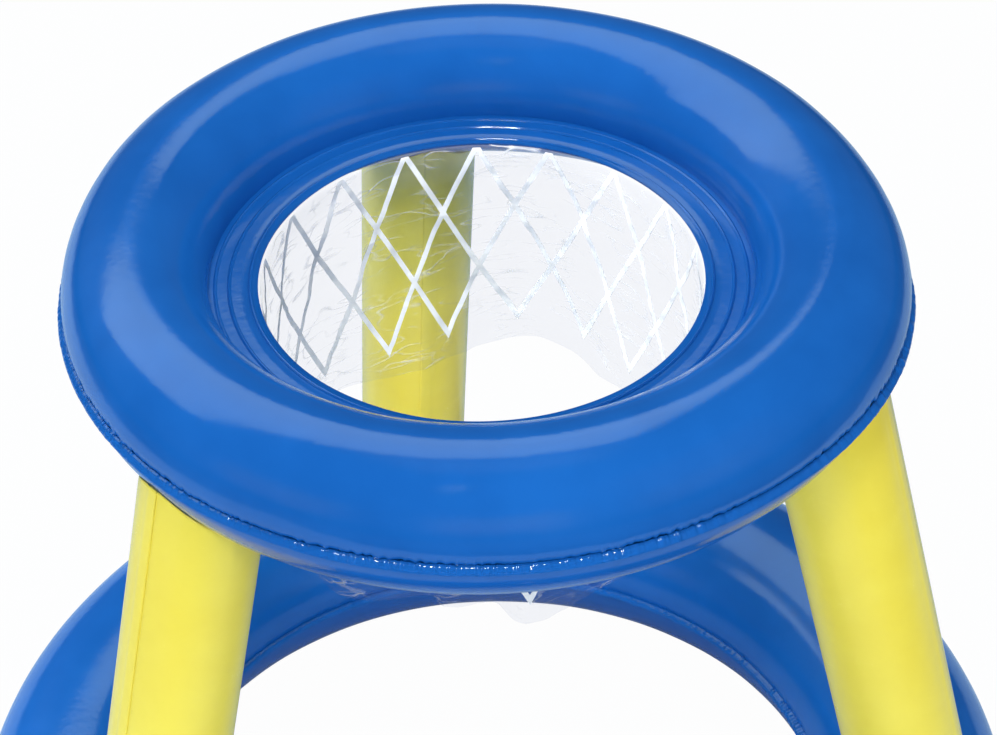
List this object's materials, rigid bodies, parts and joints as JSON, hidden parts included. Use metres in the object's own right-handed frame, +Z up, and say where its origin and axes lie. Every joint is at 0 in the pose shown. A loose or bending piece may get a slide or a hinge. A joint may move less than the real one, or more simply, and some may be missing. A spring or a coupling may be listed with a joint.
{
  "type": "floating pool basketball hoop",
  "caption": "Inflatable pool basketball hoop: rim ring with a clear hanging net skirt, leaning legs, a wide base ring and push-in valves.",
  "frame": {"origin": "on the surface it rests on, under the middle of the base ring", "axes": "+Z up through the middle of both rings, +Y towards leg 1, +X towards the side of leg 3"},
  "size_m": [0.6146, 0.6146, 0.496],
  "materials": {
    "blue_vinyl": "glossy soft vinyl sheet, royal blue",
    "yellow_vinyl": "satin soft vinyl sheet, pale lemon yellow",
    "clear_film": "clear glossy vinyl film with a white printed net",
    "valve_vinyl": "milky soft moulded vinyl"
  },
  "bodies": {
    "hoop": {"rim_upper_sheet": "blue_vinyl", "rim_lower_sheet": "blue_vinyl", "net_skirt": "clear_film", "base_upper_sheet": "blue_vinyl", "base_lower_sheet": "blue_vinyl", "leg_1_under_panel": "yellow_vinyl", "leg_1_over_panel": "yellow_vinyl", "leg_1_head_disc": "yellow_vinyl", "leg_1_foot_disc": "yellow_vinyl", "leg_2_under_panel": "yellow_vinyl", "leg_2_over_panel": "yellow_vinyl", "leg_2_head_disc": "yellow_vinyl", "leg_2_foot_disc": "yellow_vinyl", "leg_3_under_panel": "yellow_vinyl", "leg_3_over_panel": "yellow_vinyl", "leg_3_head_disc": "yellow_vinyl", "leg_3_foot_disc": "yellow_vinyl", "leg_1_valve_boot": "valve_vinyl", "leg_2_valve_boot": "valve_vinyl", "leg_3_valve_boot": "valve_vinyl", "rim_valve_boot": "valve_vinyl", "base_valve_boot": "valve_vinyl"},
    "leg_1_valve_stem": {"leg_1_valve_stem": "valve_vinyl"},
    "leg_1_valve_plug": {"leg_1_valve_plug": "valve_vinyl"},
    "leg_1_valve_flap": {"leg_1_valve_flap": "valve_vinyl"},
    "leg_2_valve_stem": {"leg_2_valve_stem": "valve_vinyl"},
    "leg_2_valve_plug": {"leg_2_valve_plug": "valve_vinyl"},
    "leg_2_valve_flap": {"leg_2_valve_flap": "valve_vinyl"},
    "leg_3_valve_stem": {"leg_3_valve_stem": "valve_vinyl"},
    "leg_3_valve_plug": {"leg_3_valve_plug": "valve_vinyl"},
    "leg_3_valve_flap": {"leg_3_valve_flap": "valve_vinyl"},
    "rim_valve_stem": {"rim_valve_stem": "valve_vinyl"},
    "rim_valve_plug": {"rim_valve_plug": "valve_vinyl"},
    "rim_valve_flap": {"rim_valve_flap": "valve_vinyl"},
    "base_valve_stem": {"base_valve_stem": "valve_vinyl"},
    "base_valve_plug": {"base_valve_plug": "valve_vinyl"},
    "base_valve_flap": {"base_valve_flap": "valve_vinyl"}
  },
  "joints": [
    {"name": "leg_1_valve_stem_slide", "type": "slide", "parent": "hoop", "child": "leg_1_valve_stem", "axis": [-0.6088, -0.7716, -0.1847], "range_m": [0, 0.0077]},
    {"name": "leg_1_valve_plug_hinge", "type": "hinge", "parent": "leg_1_valve_stem", "child": "leg_1_valve_plug", "pos_m": [-0.02011, 0.21937, 0.15464], "axis": [-0.7934, 0.592, 0.1417], "range_deg": [0, 140]},
    {"name": "leg_1_valve_flap_hinge", "type": "hinge", "parent": "leg_1_valve_stem", "child": "leg_1_valve_flap", "pos_m": [-0.00927, 0.23369, 0.1555], "axis": [0.7934, -0.592, -0.1417], "range_deg": [0, 60], "stiffness_Nm_per_rad": 0.00005, "springref_deg": -11.46},
    {"name": "leg_2_valve_stem_slide", "type": "slide", "parent": "hoop", "child": "leg_2_valve_stem", "axis": [0.3638, 0.913, -0.1847], "range_m": [0, 0.0077]},
    {"name": "leg_2_valve_plug_hinge", "type": "hinge", "parent": "leg_2_valve_stem", "child": "leg_2_valve_plug", "pos_m": [-0.20003, -0.09227, 0.15464], "axis": [0.9094, -0.391, -0.1417], "range_deg": [0, 140]},
    {"name": "leg_2_valve_flap_hinge", "type": "hinge", "parent": "leg_2_valve_stem", "child": "leg_2_valve_flap", "pos_m": [-0.20701, -0.10881, 0.1555], "axis": [-0.9094, 0.391, 0.1417], "range_deg": [0, 60], "stiffness_Nm_per_rad": 0.00005, "springref_deg": -11.46},
    {"name": "leg_3_valve_stem_slide", "type": "slide", "parent": "hoop", "child": "leg_3_valve_stem", "axis": [-0.3638, 0.913, -0.1847], "range_m": [0, 0.0077]},
    {"name": "leg_3_valve_plug_hinge", "type": "hinge", "parent": "leg_3_valve_stem", "child": "leg_3_valve_plug", "pos_m": [0.20003, -0.09227, 0.15464], "axis": [0.9094, 0.391, 0.1417], "range_deg": [0, 140]},
    {"name": "leg_3_valve_flap_hinge", "type": "hinge", "parent": "leg_3_valve_stem", "child": "leg_3_valve_flap", "pos_m": [0.20701, -0.10881, 0.1555], "axis": [-0.9094, -0.391, -0.1417], "range_deg": [0, 60], "stiffness_Nm_per_rad": 0.00005, "springref_deg": -11.46},
    {"name": "rim_valve_stem_slide", "type": "slide", "parent": "hoop", "child": "rim_valve_stem", "axis": [0, 0, -1], "range_m": [0, 0.0077]},
    {"name": "rim_valve_plug_hinge", "type": "hinge", "parent": "rim_valve_stem", "child": "rim_valve_plug", "pos_m": [-0.15675, 0.08253, 0.41074], "axis": [-0.866, 0.5, 0], "range_deg": [0, 140]},
    {"name": "rim_valve_flap_hinge", "type": "hinge", "parent": "rim_valve_stem", "child": "rim_valve_flap", "pos_m": [-0.1555, 0.0847, 0.42853], "axis": [0.866, -0.5, 0], "range_deg": [0, 60], "stiffness_Nm_per_rad": 0.00005, "springref_deg": -11.46},
    {"name": "base_valve_stem_slide", "type": "slide", "parent": "hoop", "child": "base_valve_stem", "axis": [0, 0, 1], "range_m": [0, 0.0077]},
    {"name": "base_valve_plug_hinge", "type": "hinge", "parent": "base_valve_stem", "child": "base_valve_plug", "pos_m": [-0.0069, -0.24957, 0.10611], "axis": [0, -1, 0], "range_deg": [0, 140]},
    {"name": "base_valve_flap_hinge", "type": "hinge", "parent": "base_valve_stem", "child": "base_valve_flap", "pos_m": [-0.0044, -0.24957, 0.08831], "axis": [0, 1, 0], "range_deg": [0, 60], "stiffness_Nm_per_rad": 0.00005, "springref_deg": -11.46}
  ]
}
